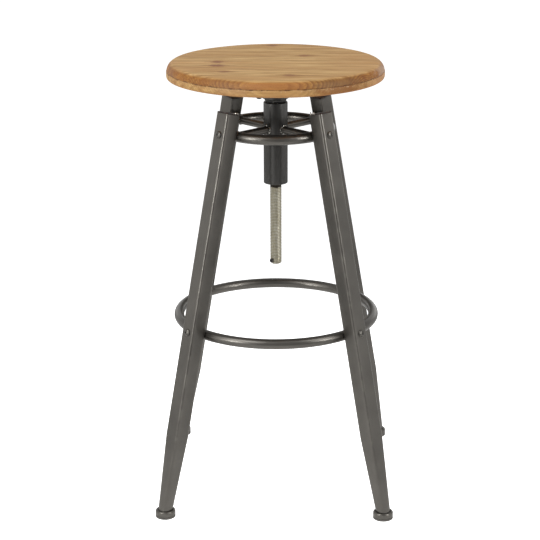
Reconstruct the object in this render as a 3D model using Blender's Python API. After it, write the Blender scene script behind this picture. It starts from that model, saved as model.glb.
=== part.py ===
"""Adjustable bar stool: a round board seat on a screw spindle, carried by four splayed tube legs.

Metres, +Z up. The origin is on the floor under the middle of the seat.
The seat is shown at its lowest.
"""

import math

import bmesh
import bpy
from mathutils import Matrix, Vector

# Clearances between neighbouring pieces
SEAM_GAP = 0.0003
SOCKET_CLEARANCE = 0.0008

# Seat board: the upper half of its edge is rounded over to a groove, the lower half is upright
SEAT_DIAMETER = 0.340
SEAT_THICKNESS = 0.024
SEAT_SLOPE_DROP = 0.0120
SEAT_SLOPE_INSET = 0.0095
SEAT_SLOPE_BULGE = 0.0021
SEAT_QUIRK_DEPTH = 0.0006
SEAT_QUIRK_HEIGHT = 0.0010
SEAT_LOWER_ROUND = 0.0040

# Seat plate and the screws that hold the board to it
PLATE_SIDE = 0.200
PLATE_THICKNESS = 0.004
PLATE_CORNER_RADIUS = 0.014
PLATE_TURN = math.radians(35.0)
PLATE_SCREW_EDGE = 0.012
PLATE_SCREW_DIAMETER = 0.005
PLATE_SCREW_DEPTH = 0.016
PLATE_SCREW_FLANGE = 0.013
PLATE_SCREW_FLANGE_THICKNESS = 0.0016
PLATE_SCREW_HEAD = 0.0085
PLATE_SCREW_HEAD_HEIGHT = 0.0044
PLATE_SCREW_DOME = 0.0024

# Collar, buffer ring and screw spindle
COLLAR_NECK_DIAMETER = 0.032
COLLAR_HOLLOW = 0.0047
COLLAR_LENGTH = 0.0328
BUFFER_DIAMETER = 0.0325
BUFFER_THICKNESS = 0.0016
SPINDLE_DIAMETER = 0.018
SPINDLE_LENGTH = 0.298
SPINDLE_CHAMFER = 0.0016
STOP_SCREW_DIAMETER = 0.004
STOP_SCREW_DEPTH = 0.007
STOP_SCREW_HEAD = 0.0065
STOP_SCREW_HEAD_HEIGHT = 0.0028
STOP_SCREW_FROM_END = 0.0058
STOP_SCREW_AZIMUTH = math.radians(228.0)

# Hub sleeve with the spindle nut at its foot and a guide bush at its top
SLEEVE_DIAMETER = 0.038
SLEEVE_WALL = 0.003
SLEEVE_LENGTH = 0.130
SLEEVE_ABOVE_RING = 0.042
SLEEVE_EDGE_ROUND = 0.0010
NUT_LENGTH = 0.024
BUSH_LENGTH = 0.016
BUSH_RECESS = 0.0012

# Legs: square tube, drawn down to a round end above the foot
LEG_COUNT = 4
LEG_FIRST_AZIMUTH = math.radians(45.0)
LEG_LEAN = math.radians(13.1)
LEG_LENGTH = 0.630
LEG_TUBE = 0.0265
LEG_WALL = 0.0015
LEG_CORNER_RADIUS = 0.0038
LEG_END_DIAMETER = 0.022
LEG_END_FLAT = 0.0006
SWAGE_LENGTH = 0.120
LEAST_INNER_CORNER = 0.0004
CAP_THICKNESS = 0.0018
CAP_PLUG_DEPTH = 0.012
CAP_PLUG_WALL = 0.002

# Feet and their floor pads
FOOT_CIRCLE_RADIUS = 0.2421
FOOT_DIAMETER = 0.0315
FOOT_HEIGHT = 0.0092
FOOT_SHOULDER = 0.0034
FOOT_EDGE = 0.0006
SOCKET_DEPTH = 0.0015
PAD_THICKNESS = 0.003
PAD_STEM_DIAMETER = 0.008
PAD_STEM_LENGTH = 0.004

# Upper ring with its arms, and the footrest ring
RING_TUBE = 0.016
RING_WALL = 0.0012
UPPER_BOLT_DROP = 0.0331
FOOTREST_HEIGHT = 0.2830
FOOTREST_BOLT_RISE = 0.0025
ARM_TUBE = 0.012
ARM_WALL = 0.0015

# Leg bolts and the threaded inserts that they screw into
BOLT_DIAMETER = 0.005
BOLT_HEAD_DIAMETER = 0.0114
BOLT_HEAD_HEIGHT = 0.0032
BOLT_HEAD_RIM = 0.0006
INSERT_WALL = 0.0013
INSERT_TIP_CLEARANCE = 0.0010

# Facet counts
SEAT_STEPS = 64
SEAT_SLOPE_STEPS = 4
TURNED_STEPS = 28
SMALL_STEPS = 12
FOOT_STEPS = 16
ROUND_STEPS = 2
FILLET_STEPS = 4
UPPER_RING_STEPS = 36
FOOTREST_STEPS = 44
RING_SECTION_STEPS = 10
BORE_SECTION_STEPS = 6
ARM_STEPS = 16
CORNER_STEPS = 3
SWAGE_STEPS = 4
SMOOTH_ANGLE = math.radians(35.0)
MERGE_DISTANCE = 1e-6

# Heights that follow from the stack of pieces
SOCKET_HEIGHT = PAD_THICKNESS + SEAM_GAP + FOOT_HEIGHT - SOCKET_DEPTH
RING_INWARD = LEG_TUBE / 2 + SEAM_GAP + RING_TUBE / 2
UPPER_BOLT_STATION = LEG_LENGTH - UPPER_BOLT_DROP
UPPER_RING_RUN = UPPER_BOLT_STATION - RING_INWARD * math.tan(LEG_LEAN)
UPPER_RING_HEIGHT = SOCKET_HEIGHT + UPPER_RING_RUN * math.cos(LEG_LEAN)
SLEEVE_TOP = UPPER_RING_HEIGHT + SLEEVE_ABOVE_RING
SLEEVE_BOTTOM = SLEEVE_TOP - SLEEVE_LENGTH
BUFFER_BOTTOM = SLEEVE_TOP + SEAM_GAP
COLLAR_BOTTOM = BUFFER_BOTTOM + BUFFER_THICKNESS + SEAM_GAP
PLATE_BOTTOM = COLLAR_BOTTOM + COLLAR_LENGTH + SEAM_GAP
SEAT_BOTTOM = PLATE_BOTTOM + PLATE_THICKNESS + SEAM_GAP
SEAT_TOP = SEAT_BOTTOM + SEAT_THICKNESS
SPINDLE_TOP = PLATE_BOTTOM - SEAM_GAP
SPINDLE_BOTTOM = SPINDLE_TOP - SPINDLE_LENGTH
SPINDLE_BORE = SPINDLE_DIAMETER / 2 + SEAM_GAP
INSERT_LENGTH = RING_TUBE - RING_WALL - INSERT_TIP_CLEARANCE
INSERT_RADIUS = BOLT_DIAMETER / 2 + SEAM_GAP + INSERT_WALL
BOLT_LENGTH = LEG_TUBE + SEAM_GAP + INSERT_LENGTH

LEG_NAMES = ("back_right", "back_left", "front_left", "front_right")

# Colour, roughness and metallic value of each finish
FINISHES = {
    "pine": ((0.52, 0.33, 0.17), 0.55, 0.0),
    "gunmetal_paint": ((0.095, 0.088, 0.080), 0.42, 0.55),
    "hub_paint": ((0.055, 0.054, 0.052), 0.45, 0.45),
    "bare_steel": ((0.42, 0.39, 0.33), 0.40, 0.90),
    "black_oxide": ((0.035, 0.033, 0.031), 0.45, 0.70),
    "black_plastic": ((0.030, 0.024, 0.020), 0.50, 0.0),
    "grey_plastic": ((0.090, 0.085, 0.078), 0.60, 0.0),
    "black_rubber": ((0.012, 0.012, 0.012), 0.75, 0.0),
    "brass": ((0.48, 0.36, 0.16), 0.40, 0.90),
}


def clear_scene():
    for thing in list(bpy.data.objects):
        bpy.data.objects.remove(thing, do_unlink=True)


def make_finish(name):
    colour, roughness, metallic = FINISHES[name]
    material = bpy.data.materials.new(name)
    material.use_nodes = True
    shader = material.node_tree.nodes["Principled BSDF"]
    shader.inputs["Base Color"].default_value = (*colour, 1.0)
    shader.inputs["Roughness"].default_value = roughness
    shader.inputs["Metallic"].default_value = metallic
    return material


def make_mesh(name, shape, finish=None):
    """Turns a bmesh into a smooth-shaded mesh that keeps its sharp edges."""
    bmesh.ops.remove_doubles(shape, verts=shape.verts, dist=MERGE_DISTANCE)
    bmesh.ops.recalc_face_normals(shape, faces=shape.faces)
    mesh = bpy.data.meshes.new(name)
    shape.to_mesh(mesh)
    shape.free()
    mesh.shade_smooth()
    mesh.set_sharp_from_angle(angle=SMOOTH_ANGLE)
    if finish:
        mesh.materials.append(finish)
    return mesh


def place(name, mesh, parent=None, matrix=None):
    thing = bpy.data.objects.new(name, mesh)
    bpy.context.scene.collection.objects.link(thing)
    thing.parent = parent
    if matrix:
        thing.matrix_basis = matrix
    return thing


def make_empty(name, matrix):
    return place(name, None, matrix=matrix)


def cut(thing, cutter):
    """Takes the cutter's shape out of a piece, and keeps the cutter as a wire guide."""
    modifier = thing.modifiers.new(cutter.name, "BOOLEAN")
    modifier.operation = "DIFFERENCE"
    modifier.solver = "EXACT"
    modifier.object = cutter
    cutter.hide_render = True
    cutter.display_type = "WIRE"


def turned(profile, steps, closed=False):
    """Spins a profile of (radius, height) points once round Z."""
    shape = bmesh.new()
    points = [shape.verts.new((radius, 0.0, height)) for radius, height in profile]
    pairs = list(zip(points, points[1:]))
    if closed:
        pairs.append((points[-1], points[0]))
    edges = [shape.edges.new(pair) for pair in pairs]
    bmesh.ops.spin(
        shape,
        geom=points + edges,
        cent=(0, 0, 0),
        axis=(0, 0, 1),
        angle=math.tau,
        steps=steps,
        use_merge=True,
    )
    return shape


def add_turned(name, profile, finish, parent=None, closed=True):
    """Places a piece that is turned about the stool's own axis."""
    return place(name, make_mesh(name, turned(profile, TURNED_STEPS, closed), finish), parent)


def sleeve_profile(outer, inner, low, high):
    return [(outer, high), (outer, low), (inner, low), (inner, high)]


def arc(centre, radii, start, end, steps):
    """Points along an elliptic arc about a centre, from one angle to another."""
    angles = [start + (end - start) * step / steps for step in range(steps + 1)]
    return [(centre[0] + radii[0] * math.cos(a), centre[1] + radii[1] * math.sin(a)) for a in angles]


def torus(radius, height, section_radius, steps, section_steps):
    circle = arc((radius, height), (section_radius, section_radius), 0.0, math.tau, section_steps)
    return turned(circle[:-1], steps, closed=True)


def rod(shape, radius, start, end, matrix, steps=SMALL_STEPS):
    """Adds a plain cylinder from start to end along the matrix's own X axis."""
    along_x = Matrix.Translation(((start + end) / 2, 0, 0)) @ Matrix.Rotation(math.pi / 2, 4, "Y")
    bmesh.ops.create_cone(
        shape,
        cap_ends=True,
        segments=steps,
        radius1=radius,
        radius2=radius,
        depth=end - start,
        matrix=matrix @ along_x,
    )


def loft(outlines, capped=True):
    """Skins a row of outlines, each a loop of as many points, and closes both ends if asked."""
    shape = bmesh.new()
    loops = [[shape.verts.new(point) for point in outline] for outline in outlines]
    count = len(loops[0])
    for lower, upper in zip(loops, loops[1:]):
        for near in range(count):
            far = (near + 1) % count
            shape.faces.new((lower[near], lower[far], upper[far], upper[near]))
    if capped:
        shape.faces.new(loops[0])
        shape.faces.new(loops[-1])
    return shape


def rounded_square(half, corner, steps):
    """Points round a square with rounded corners, as seen along its axis."""
    points = []
    for quarter in range(4):
        turn = quarter * math.pi / 2
        centre = Matrix.Rotation(turn, 2) @ Vector((half - corner, half - corner))
        points += arc(centre, (corner, corner), turn, turn + math.pi / 2, steps)
    return points


def leg_azimuth(index):
    return LEG_FIRST_AZIMUTH + index * math.tau / LEG_COUNT


def foot_matrix(index):
    azimuth = leg_azimuth(index)
    spot = Vector((math.cos(azimuth), math.sin(azimuth), 0)) * FOOT_CIRCLE_RADIUS
    return Matrix.Translation(spot) @ Matrix.Rotation(azimuth, 4, "Z")


def leg_matrix(index):
    """A leg's own frame: +Z up its axis from the foot's socket, +X out of its outer face."""
    lift = Matrix.Translation((0, 0, SOCKET_HEIGHT))
    return foot_matrix(index) @ lift @ Matrix.Rotation(-LEG_LEAN, 4, "Y")


def ring_radius(height):
    """Centre-line radius of a ring at this height that lies against the legs' inner faces."""
    rise = height - SOCKET_HEIGHT
    return FOOT_CIRCLE_RADIUS - (RING_INWARD + rise * math.sin(LEG_LEAN)) / math.cos(LEG_LEAN)


def ring_station(height):
    """How far up the legs' axes the ring at this height lies against them."""
    return RING_INWARD * math.tan(LEG_LEAN) + (height - SOCKET_HEIGHT) / math.cos(LEG_LEAN)


BOLT_STATIONS = {
    "upper": UPPER_BOLT_STATION,
    "footrest": ring_station(FOOTREST_HEIGHT) + FOOTREST_BOLT_RISE,
}


def plate_screw_spots():
    reach = PLATE_SIDE / 2 - PLATE_SCREW_EDGE
    corners = [Vector((x * reach, y * reach, 0)) for x, y in ((1, 1), (-1, 1), (-1, -1), (1, -1))]
    return [Matrix.Rotation(PLATE_TURN, 3, "Z") @ corner for corner in corners]


def drill_pattern(spots, radius, low, high):
    """Upright drills at each spot, as one cutter mesh."""
    shape = bmesh.new()
    for spot in spots:
        rod(shape, radius, low, high, Matrix.Translation(spot) @ Matrix.Rotation(-math.pi / 2, 4, "Y"))
    return shape


def build_seat_board(axis, finish):
    radius = SEAT_DIAMETER / 2
    rim_top = SEAT_TOP - SEAT_SLOPE_DROP
    slope_start = Vector((radius - SEAT_SLOPE_INSET, SEAT_TOP))
    slope_end = Vector((radius - SEAT_QUIRK_DEPTH, rim_top))
    outward = (slope_end - slope_start).orthogonal().normalized()
    profile = [(0.0, SEAT_TOP)]
    for step in range(SEAT_SLOPE_STEPS + 1):
        share = step / SEAT_SLOPE_STEPS
        bulge = SEAT_SLOPE_BULGE * 4 * share * (1 - share)
        profile.append(tuple(slope_start.lerp(slope_end, share) + outward * bulge))
    profile.append((radius, rim_top - SEAT_QUIRK_HEIGHT))
    centre = (radius - SEAT_LOWER_ROUND, SEAT_BOTTOM + SEAT_LOWER_ROUND)
    profile += arc(centre, (SEAT_LOWER_ROUND, SEAT_LOWER_ROUND), 0.0, -math.pi / 2, ROUND_STEPS)
    profile.append((0.0, SEAT_BOTTOM))
    board = place("seat_board", make_mesh("seat_board", turned(profile, SEAT_STEPS), finish), axis)
    hole = PLATE_SCREW_DIAMETER / 2 + SEAM_GAP
    below = SEAT_BOTTOM - PLATE_THICKNESS
    top = SEAT_BOTTOM + PLATE_SCREW_DEPTH + SEAM_GAP
    pilots = drill_pattern(plate_screw_spots(), hole, below, top)
    cut(board, place("seat_pilot_drills", make_mesh("seat_pilot_drills", pilots), axis))


def build_seat_plate(axis, finish):
    outline = rounded_square(PLATE_SIDE / 2, PLATE_CORNER_RADIUS, CORNER_STEPS)
    heights = (PLATE_BOTTOM, PLATE_BOTTOM + PLATE_THICKNESS)
    shape = loft([[(x, y, height) for x, y in outline] for height in heights])
    turn = Matrix.Rotation(PLATE_TURN, 4, "Z")
    plate = place("seat_plate", make_mesh("seat_plate", shape, finish), axis, turn)
    hole = PLATE_SCREW_DIAMETER / 2 + SEAM_GAP
    drills = drill_pattern(plate_screw_spots(), hole, PLATE_BOTTOM - PLATE_THICKNESS, SEAT_TOP)
    cut(plate, place("plate_drills", make_mesh("plate_drills", drills), axis))


def build_seat_screws(axis, finish):
    shank = PLATE_SCREW_DIAMETER / 2
    under_plate = PLATE_BOTTOM - SEAM_GAP
    tip = SEAT_BOTTOM + PLATE_SCREW_DEPTH
    flange_low = under_plate - PLATE_SCREW_FLANGE_THICKNESS
    dome_top = flange_low - PLATE_SCREW_HEAD_HEIGHT + PLATE_SCREW_DOME
    head = PLATE_SCREW_HEAD / 2
    profile = [
        (0.0, tip),
        (shank, tip - shank),
        (shank, under_plate),
        (PLATE_SCREW_FLANGE / 2, under_plate),
        (PLATE_SCREW_FLANGE / 2, flange_low),
        (head, flange_low),
    ]
    profile += arc((0.0, dome_top), (head, PLATE_SCREW_DOME), 0.0, -math.pi / 2, ROUND_STEPS)
    mesh = make_mesh("seat_screw", turned(profile, SMALL_STEPS), finish)
    for number, spot in enumerate(plate_screw_spots(), start=1):
        place(f"seat_screw_{number}", mesh, axis, Matrix.Translation(spot))


def build_collar(axis, finish):
    """The boss welded under the plate, drawn in to a neck at its foot by a round hollow."""
    outer = COLLAR_NECK_DIAMETER / 2 + COLLAR_HOLLOW
    top = COLLAR_BOTTOM + COLLAR_LENGTH
    hollow = arc((outer, COLLAR_BOTTOM), (COLLAR_HOLLOW, COLLAR_HOLLOW), math.pi, math.pi / 2, FILLET_STEPS)
    profile = [(SPINDLE_BORE, COLLAR_BOTTOM)] + hollow + [(outer, top), (SPINDLE_BORE, top)]
    add_turned("seat_collar", profile, finish, axis)


def build_spindle(axis, steel, dark):
    radius = SPINDLE_DIAMETER / 2
    profile = [
        (0.0, SPINDLE_TOP),
        (radius, SPINDLE_TOP),
        (radius, SPINDLE_BOTTOM + SPINDLE_CHAMFER),
        (radius - SPINDLE_CHAMFER, SPINDLE_BOTTOM),
        (0.0, SPINDLE_BOTTOM),
    ]
    spindle = add_turned("spindle", profile, steel, axis, closed=False)
    height = Matrix.Translation((0, 0, SPINDLE_BOTTOM + STOP_SCREW_FROM_END))
    radial = height @ Matrix.Rotation(STOP_SCREW_AZIMUTH, 4, "Z")
    drill = bmesh.new()
    seat = radius - STOP_SCREW_DEPTH - SEAM_GAP
    rod(drill, STOP_SCREW_DIAMETER / 2 + SEAM_GAP, seat, SPINDLE_DIAMETER, radial)
    cut(spindle, place("stop_screw_drill", make_mesh("stop_screw_drill", drill), axis))
    head_low = radius + SEAM_GAP
    head_top = head_low + STOP_SCREW_HEAD_HEIGHT
    shank = STOP_SCREW_DIAMETER / 2
    profile = [(0.0, head_top)]
    profile += arc(
        (STOP_SCREW_HEAD / 2 - shank / 2, head_top - shank / 2),
        (shank / 2, shank / 2),
        math.pi / 2,
        0.0,
        ROUND_STEPS,
    )
    profile += [
        (STOP_SCREW_HEAD / 2, head_low),
        (shank, head_low),
        (shank, radius - STOP_SCREW_DEPTH),
        (0.0, radius - STOP_SCREW_DEPTH),
    ]
    screw = make_mesh("stop_screw", turned(profile, SMALL_STEPS), dark)
    place("stop_screw", screw, axis, radial @ Matrix.Rotation(math.pi / 2, 4, "Y"))


def build_buffer_ring(axis, finish):
    top = BUFFER_BOTTOM + BUFFER_THICKNESS
    profile = sleeve_profile(BUFFER_DIAMETER / 2, SPINDLE_BORE, BUFFER_BOTTOM, top)
    add_turned("buffer_ring", profile, finish, axis)


def build_hub(paint, brass):
    outer = SLEEVE_DIAMETER / 2
    bore = outer - SLEEVE_WALL
    edge = (SLEEVE_EDGE_ROUND, SLEEVE_EDGE_ROUND)
    side = outer - SLEEVE_EDGE_ROUND
    profile = [(bore, SLEEVE_TOP)]
    profile += arc((side, SLEEVE_TOP - SLEEVE_EDGE_ROUND), edge, math.pi / 2, 0.0, ROUND_STEPS)
    profile += [(outer, SLEEVE_BOTTOM), (bore, SLEEVE_BOTTOM)]
    add_turned("hub_sleeve", profile, paint)
    nut_low = SLEEVE_BOTTOM + BUSH_RECESS
    bush_high = SLEEVE_TOP - BUSH_RECESS
    fills = {
        "spindle_nut": (nut_low, nut_low + NUT_LENGTH),
        "guide_bush": (bush_high - BUSH_LENGTH, bush_high),
    }
    for name, (low, high) in fills.items():
        add_turned(name, sleeve_profile(bore - SEAM_GAP, SPINDLE_BORE, low, high), brass)


def ring_drills(name, station):
    """Drills for the threaded inserts of one ring, along the bolts' axes."""
    shape = bmesh.new()
    start = -(LEG_TUBE / 2 + SEAM_GAP + INSERT_LENGTH + SEAM_GAP)
    for index in range(LEG_COUNT):
        at_bolt = leg_matrix(index) @ Matrix.Translation((0, 0, station))
        rod(shape, INSERT_RADIUS + SEAM_GAP, start, 0.0, at_bolt)
    return place(name, make_mesh(name, shape))


def build_ring(name, height, station, steps, finish):
    radius = ring_radius(height)
    outside = torus(radius, height, RING_TUBE / 2, steps, RING_SECTION_STEPS)
    ring = place(name, make_mesh(name, outside, finish))
    bore = torus(radius, height, RING_TUBE / 2 - RING_WALL, steps, BORE_SECTION_STEPS)
    cut(ring, place(name + "_bore", make_mesh(name + "_bore", bore)))
    cut(ring, ring_drills(name + "_drills", station))


def build_arms(finish):
    """Tubes from the sleeve to the upper ring, with both ends coped to what they meet."""
    radius = ring_radius(UPPER_RING_HEIGHT)
    cope_sleeve = turned(
        [
            (0.0, SLEEVE_TOP),
            (SLEEVE_DIAMETER / 2 + SEAM_GAP, SLEEVE_TOP),
            (SLEEVE_DIAMETER / 2 + SEAM_GAP, SLEEVE_BOTTOM),
            (0.0, SLEEVE_BOTTOM),
        ],
        TURNED_STEPS,
    )
    clear_of_ring = RING_TUBE / 2 + SEAM_GAP
    cope_ring = torus(radius, UPPER_RING_HEIGHT, clear_of_ring, UPPER_RING_STEPS, RING_SECTION_STEPS)
    cutters = [
        place("sleeve_cope", make_mesh("sleeve_cope", cope_sleeve)),
        place("ring_cope", make_mesh("ring_cope", cope_ring)),
    ]
    profile = sleeve_profile(ARM_TUBE / 2, ARM_TUBE / 2 - ARM_WALL, SPINDLE_BORE, radius)
    mesh = make_mesh("hub_arm", turned(profile, ARM_STEPS, closed=True), finish)
    lift = Matrix.Translation((0, 0, UPPER_RING_HEIGHT))
    for index, name in enumerate(LEG_NAMES):
        outward = Matrix.Rotation(leg_azimuth(index), 4, "Z") @ Matrix.Rotation(math.pi / 2, 4, "Y")
        arm = place(f"hub_arm_{name}", mesh, matrix=lift @ outward)
        for cutter in cutters:
            cut(arm, cutter)


def leg_mesh(finish):
    """The outside of a leg: round and cut level at the foot, square above the swage, with no wall yet."""
    end_half = LEG_END_DIAMETER / 2
    stations = []
    for step in range(SWAGE_STEPS + 1):
        share = step / SWAGE_STEPS
        half = end_half + (LEG_TUBE / 2 - end_half) * share
        corner = (end_half - LEG_END_FLAT) * (1 - share) + LEG_CORNER_RADIUS * share
        height = SEAM_GAP / math.cos(LEG_LEAN) + SWAGE_LENGTH * share
        slant = math.tan(LEG_LEAN) * (1 - share)
        stations.append((half, corner, height, slant))
    stations.append((LEG_TUBE / 2, LEG_CORNER_RADIUS, LEG_LENGTH, 0.0))
    outlines = []
    for half, corner, height, slant in stations:
        outline = rounded_square(half, corner, CORNER_STEPS)
        outlines.append([(x, y, height - slant * x) for x, y in outline])
    return make_mesh("leg", loft(outlines, capped=False), finish)


def add_wall(thing, thickness):
    """Gives an open skin a wall that grows inwards."""
    modifier = thing.modifiers.new("wall", "SOLIDIFY")
    modifier.thickness = thickness
    modifier.offset = -1.0
    modifier.use_even_offset = True


def leg_drills_mesh():
    shape = bmesh.new()
    for station in BOLT_STATIONS.values():
        at_bolt = Matrix.Translation((0, 0, station))
        rod(shape, BOLT_DIAMETER / 2 + SEAM_GAP, -LEG_TUBE, LEG_TUBE, at_bolt)
    return make_mesh("leg_drills", shape)


def cap_mesh(finish):
    """A plug for the open top of a leg: a lid on the tube's rim with a hollow skirt inside it."""
    rim = LEG_LENGTH + SEAM_GAP
    skirt = LEG_TUBE / 2 - LEG_WALL - SEAM_GAP
    skirt_corner = max(LEG_CORNER_RADIUS - LEG_WALL - SEAM_GAP, LEAST_INNER_CORNER)
    lid = (LEG_TUBE / 2, LEG_CORNER_RADIUS)
    foot = LEG_LENGTH - CAP_PLUG_DEPTH
    hollow = (skirt - CAP_PLUG_WALL, LEAST_INNER_CORNER)
    stages = (
        (*lid, rim + CAP_THICKNESS),
        (*lid, rim),
        (skirt, skirt_corner, rim),
        (skirt, skirt_corner, foot),
        (*hollow, foot),
        (*hollow, rim),
    )
    outlines = [
        [(x, y, height) for x, y in rounded_square(half, corner, CORNER_STEPS)]
        for half, corner, height in stages
    ]
    return make_mesh("leg_cap", loft(outlines), finish)


def bolt_mesh(finish):
    """A button-head bolt along +Z, with its head's seat at the origin."""
    head = BOLT_HEAD_DIAMETER / 2
    shank = BOLT_DIAMETER / 2
    rise = BOLT_HEAD_HEIGHT - BOLT_HEAD_RIM
    dome = arc((0.0, BOLT_HEAD_RIM), (head, rise), math.pi / 2, 0.0, ROUND_STEPS)
    profile = dome + [(head, 0.0), (shank, 0.0), (shank, -BOLT_LENGTH), (0.0, -BOLT_LENGTH)]
    return make_mesh("leg_bolt", turned(profile, SMALL_STEPS), finish)


def insert_mesh(finish):
    """A threaded insert along +Z, with its open end at the origin."""
    profile = sleeve_profile(INSERT_RADIUS, BOLT_DIAMETER / 2 + SEAM_GAP, -INSERT_LENGTH, 0.0)
    return make_mesh("ring_insert", turned(profile, SMALL_STEPS, closed=True), finish)


def foot_mesh(finish):
    """A turned foot with a round shoulder, a socket for the leg and a blind hole for the pad's stem."""
    low = PAD_THICKNESS + SEAM_GAP
    high = low + FOOT_HEIGHT
    radius = FOOT_DIAMETER / 2
    socket = LEG_END_DIAMETER / 2 / math.cos(LEG_LEAN) + SOCKET_CLEARANCE
    shoulder = min(FOOT_SHOULDER, radius - socket - FOOT_EDGE)
    stem = PAD_STEM_DIAMETER / 2 + SEAM_GAP
    stem_top = low + PAD_STEM_LENGTH
    profile = [(0.0, SOCKET_HEIGHT), (socket, SOCKET_HEIGHT), (socket, high)]
    centre = (radius - shoulder, high - shoulder)
    profile += arc(centre, (shoulder, shoulder), math.pi / 2, 0.0, ROUND_STEPS)
    profile += [
        (radius, low + FOOT_EDGE),
        (radius - FOOT_EDGE, low),
        (stem, low),
        (stem, stem_top),
        (0.0, stem_top),
    ]
    return make_mesh("foot", turned(profile, FOOT_STEPS), finish)


def pad_mesh(finish):
    radius = FOOT_DIAMETER / 2
    stem = PAD_STEM_DIAMETER / 2
    stem_top = PAD_THICKNESS + PAD_STEM_LENGTH
    profile = [
        (0.0, stem_top),
        (stem, stem_top),
        (stem, PAD_THICKNESS),
        (radius - FOOT_EDGE, PAD_THICKNESS),
        (radius, PAD_THICKNESS - FOOT_EDGE),
        (radius, FOOT_EDGE),
        (radius - FOOT_EDGE, 0.0),
        (0.0, 0.0),
    ]
    return make_mesh("foot_pad", turned(profile, FOOT_STEPS), finish)


def build_legs(finishes):
    leg = leg_mesh(finishes["gunmetal_paint"])
    drills = leg_drills_mesh()
    cap = cap_mesh(finishes["black_plastic"])
    bolt = bolt_mesh(finishes["black_oxide"])
    insert = insert_mesh(finishes["black_oxide"])
    foot = foot_mesh(finishes["gunmetal_paint"])
    pad = pad_mesh(finishes["grey_plastic"])
    outward = Matrix.Rotation(math.pi / 2, 4, "Y")
    for index, name in enumerate(LEG_NAMES):
        stance = make_empty(f"foot_spot_{name}", foot_matrix(index))
        place(f"foot_{name}", foot, stance)
        place(f"foot_pad_{name}", pad, stance)
        frame = make_empty(f"leg_frame_{name}", leg_matrix(index))
        tube = place(f"leg_{name}", leg, frame)
        add_wall(tube, LEG_WALL)
        cut(tube, place(f"leg_drills_{name}", drills, frame))
        place(f"leg_cap_{name}", cap, frame)
        for ring, station in BOLT_STATIONS.items():
            head = Matrix.Translation((LEG_TUBE / 2 + SEAM_GAP, 0, station))
            place(f"{ring}_bolt_{name}", bolt, frame, head @ outward)
            mouth = Matrix.Translation((-LEG_TUBE / 2 - SEAM_GAP, 0, station))
            place(f"{ring}_insert_{name}", insert, frame, mouth @ outward)


def build_stool():
    clear_scene()
    finishes = {name: make_finish(name) for name in FINISHES}
    seat_axis = make_empty("seat_axis", Matrix.Translation((0, 0, 0)))
    build_seat_board(seat_axis, finishes["pine"])
    build_seat_plate(seat_axis, finishes["black_oxide"])
    build_seat_screws(seat_axis, finishes["black_oxide"])
    build_collar(seat_axis, finishes["hub_paint"])
    build_spindle(seat_axis, finishes["bare_steel"], finishes["black_oxide"])
    build_buffer_ring(seat_axis, finishes["black_rubber"])
    build_hub(finishes["hub_paint"], finishes["brass"])
    gunmetal = finishes["gunmetal_paint"]
    build_ring("upper_ring", UPPER_RING_HEIGHT, BOLT_STATIONS["upper"], UPPER_RING_STEPS, gunmetal)
    build_arms(gunmetal)
    build_ring("footrest_ring", FOOTREST_HEIGHT, BOLT_STATIONS["footrest"], FOOTREST_STEPS, gunmetal)
    build_legs(finishes)


build_stool()
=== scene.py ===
"""Looks of the adjustable bar stool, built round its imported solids.

Metres, +Z up, in the frame of the solids. The front is -Y, and the seat is at its lowest.
"""

import math

import bmesh
import bpy
from mathutils import Matrix, Vector, noise


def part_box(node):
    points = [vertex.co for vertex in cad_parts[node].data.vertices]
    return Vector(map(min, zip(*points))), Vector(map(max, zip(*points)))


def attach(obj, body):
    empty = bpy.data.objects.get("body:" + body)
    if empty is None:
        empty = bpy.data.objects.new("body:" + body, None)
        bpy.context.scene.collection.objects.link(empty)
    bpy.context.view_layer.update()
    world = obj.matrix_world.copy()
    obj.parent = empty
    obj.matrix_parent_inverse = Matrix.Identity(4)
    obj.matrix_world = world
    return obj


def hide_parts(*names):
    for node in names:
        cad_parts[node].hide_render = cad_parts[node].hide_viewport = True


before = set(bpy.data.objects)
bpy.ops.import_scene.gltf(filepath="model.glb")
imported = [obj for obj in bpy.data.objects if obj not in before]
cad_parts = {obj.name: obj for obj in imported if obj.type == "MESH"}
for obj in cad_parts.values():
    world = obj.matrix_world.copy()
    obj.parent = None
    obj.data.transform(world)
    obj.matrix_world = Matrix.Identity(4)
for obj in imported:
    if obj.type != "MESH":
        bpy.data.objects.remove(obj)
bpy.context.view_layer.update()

LEG_NAMES = ("back_right", "back_left", "front_left", "front_right")
SEAM_GAP = 0.0003
MERGE_DISTANCE = 1e-6
TURNED_STEPS = 96
# Angle in degrees from which edges stay sharp
SHARP_ANGLE = 38.0

# Seat board
SEAT_LOW, SEAT_HIGH = (corner.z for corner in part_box("seat_board"))
SEAT_RADIUS = 0.170
SEAT_SLOPE_DROP = 0.0120
SEAT_SLOPE_INSET = 0.0095
SEAT_SLOPE_BULGE = 0.0021
SEAT_SLOPE_STEPS = 12
SEAT_QUIRK_DEPTH = 0.0006
SEAT_LOWER_ROUND = 0.0040
SEAT_RIM = SEAT_HIGH - SEAT_SLOPE_DROP
SEAT_STEPS = 240
SEAT_SHARP_ANGLE = 50.0
# Soft arris: inset from the slope's top and drop below it
ARRIS_POINTS = ((0.0035, 0.0), (0.0014, 0.00008), (0.00014, 0.0004))
# Groove and lip: inset from the board's side and drop below the slope's foot, then the groove's wear
GROOVE_POINTS = ((0.0013, 0.0003), (0.0012, 0.0007), (0.0003, 0.0010), (0.0, 0.0014))
GROOVE_ZONE_DEPTH = 0.004
GROOVE_ZONE_HALF = 0.0016
GROOVE_TOP = 0.0001
GROOVE_WANDER = 0.00055
GROOVE_FILL = 0.0008

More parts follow.
